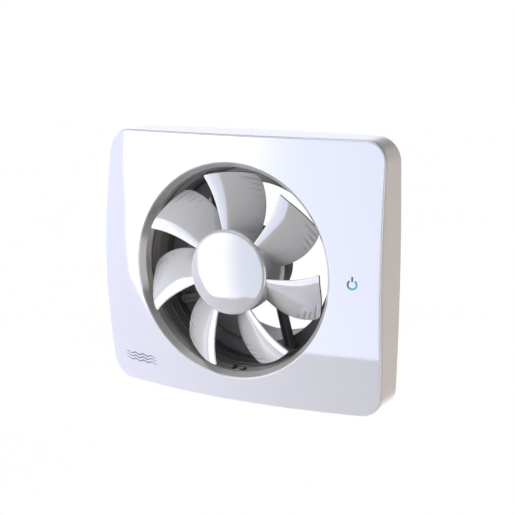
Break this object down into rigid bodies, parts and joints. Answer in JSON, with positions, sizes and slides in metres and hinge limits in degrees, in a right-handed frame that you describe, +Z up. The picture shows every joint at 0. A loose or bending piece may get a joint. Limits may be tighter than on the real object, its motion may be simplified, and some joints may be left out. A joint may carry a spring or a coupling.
{
  "type": "bathroom extractor fan",
  "caption": "Wall-mounted bathroom extractor fan: a domed, rounded rectangular white cover with an open bladed impeller in its round inlet, on a grey wall tray with a duct spigot.",
  "frame": {"origin": "on the duct's axis at the wall plane, where the back of the wall tray meets the wall", "axes": "+X right as seen from the room, +Y into the wall along the duct, +Z up; the cover's face looks along -Y"},
  "size_m": [0.182, 0.0721, 0.1572],
  "materials": {
    "cover_white": "polished injection-moulded ABS, white with a faint cool tint",
    "impeller_white": "satin-gloss white moulding",
    "housing_grey": "mid to dark grey moulding",
    "mount_grey": "dark grey moulding, light spark texture",
    "cap_black": "black moulding",
    "rubber_black": "soft black rubber",
    "light_guide": "translucent teal to cyan window",
    "steel": "plain bright steel",
    "core_steel": "dark electrical steel",
    "magnet": "sintered ferrite, matt",
    "copper": "enamelled copper wire",
    "board_green": "green solder mask",
    "part_black": "black moulding",
    "capacitor_sleeve": "dark blue printed sleeve, no print shown",
    "sensor_white": "white ceramic-like case",
    "sensor_can": "plain metal can",
    "led": "clear to milky lens",
    "terminal_grey": "light grey moulding",
    "cable_grey": "grey flexible sleeve"
  },
  "bodies": {
    "housing": {"fan_housing": "housing_grey", "duct_seal_ring": "rubber_black", "cable_grommet": "rubber_black", "latch_pin": "steel", "motor_mount": "mount_grey", "mount_screw_1": "steel", "mount_screw_2": "steel", "mount_screw_3": "steel", "mount_screw_4": "steel", "motor_rear_cap": "cap_black", "motor_board": "board_green", "stator_core": "core_steel", "stator_coil_1": "copper", "stator_coil_2": "copper", "stator_coil_3": "copper", "stator_coil_4": "copper", "stator_coil_5": "copper", "stator_coil_6": "copper", "bearing_front": "steel", "bearing_rear": "steel", "bearing_spring": "steel", "control_board": "board_green", "board_screw_1": "steel", "board_screw_2": "steel", "power_module": "part_black", "smoothing_capacitor": "capacitor_sleeve", "humidity_sensor": "sensor_white", "odour_sensor": "sensor_can", "touch_lamp": "led", "terminal_block": "terminal_grey", "terminal_screw_1": "steel", "terminal_screw_2": "steel", "terminal_screw_3": "steel", "terminal_cover": "part_black", "motor_cable": "cable_grey"},
    "rotor": {"impeller": "impeller_white", "rotor_yoke": "core_steel", "magnet_ring": "magnet", "rotor_shaft": "steel", "shaft_clip": "steel"},
    "front_cover": {"front_cover": "cover_white", "touch_light_guide": "light_guide"},
    "release_latch": {"release_latch": "cover_white"}
  },
  "joints": [
    {"name": "impeller_spin", "type": "hinge", "parent": "housing", "child": "rotor", "pos_m": [0, 0, 0], "axis": [0, -1, 0], "continuous": true},
    {"name": "cover_pull_off", "type": "slide", "parent": "housing", "child": "front_cover", "axis": [0, -1, 0], "range_m": [0, 0.06]},
    {"name": "latch_press", "type": "hinge", "parent": "housing", "child": "release_latch", "pos_m": [0.00088, -0.00785, -0.0624], "axis": [1, 0, 0], "range_deg": [0, 5], "stiffness_Nm_per_rad": 0.2}
  ]
}
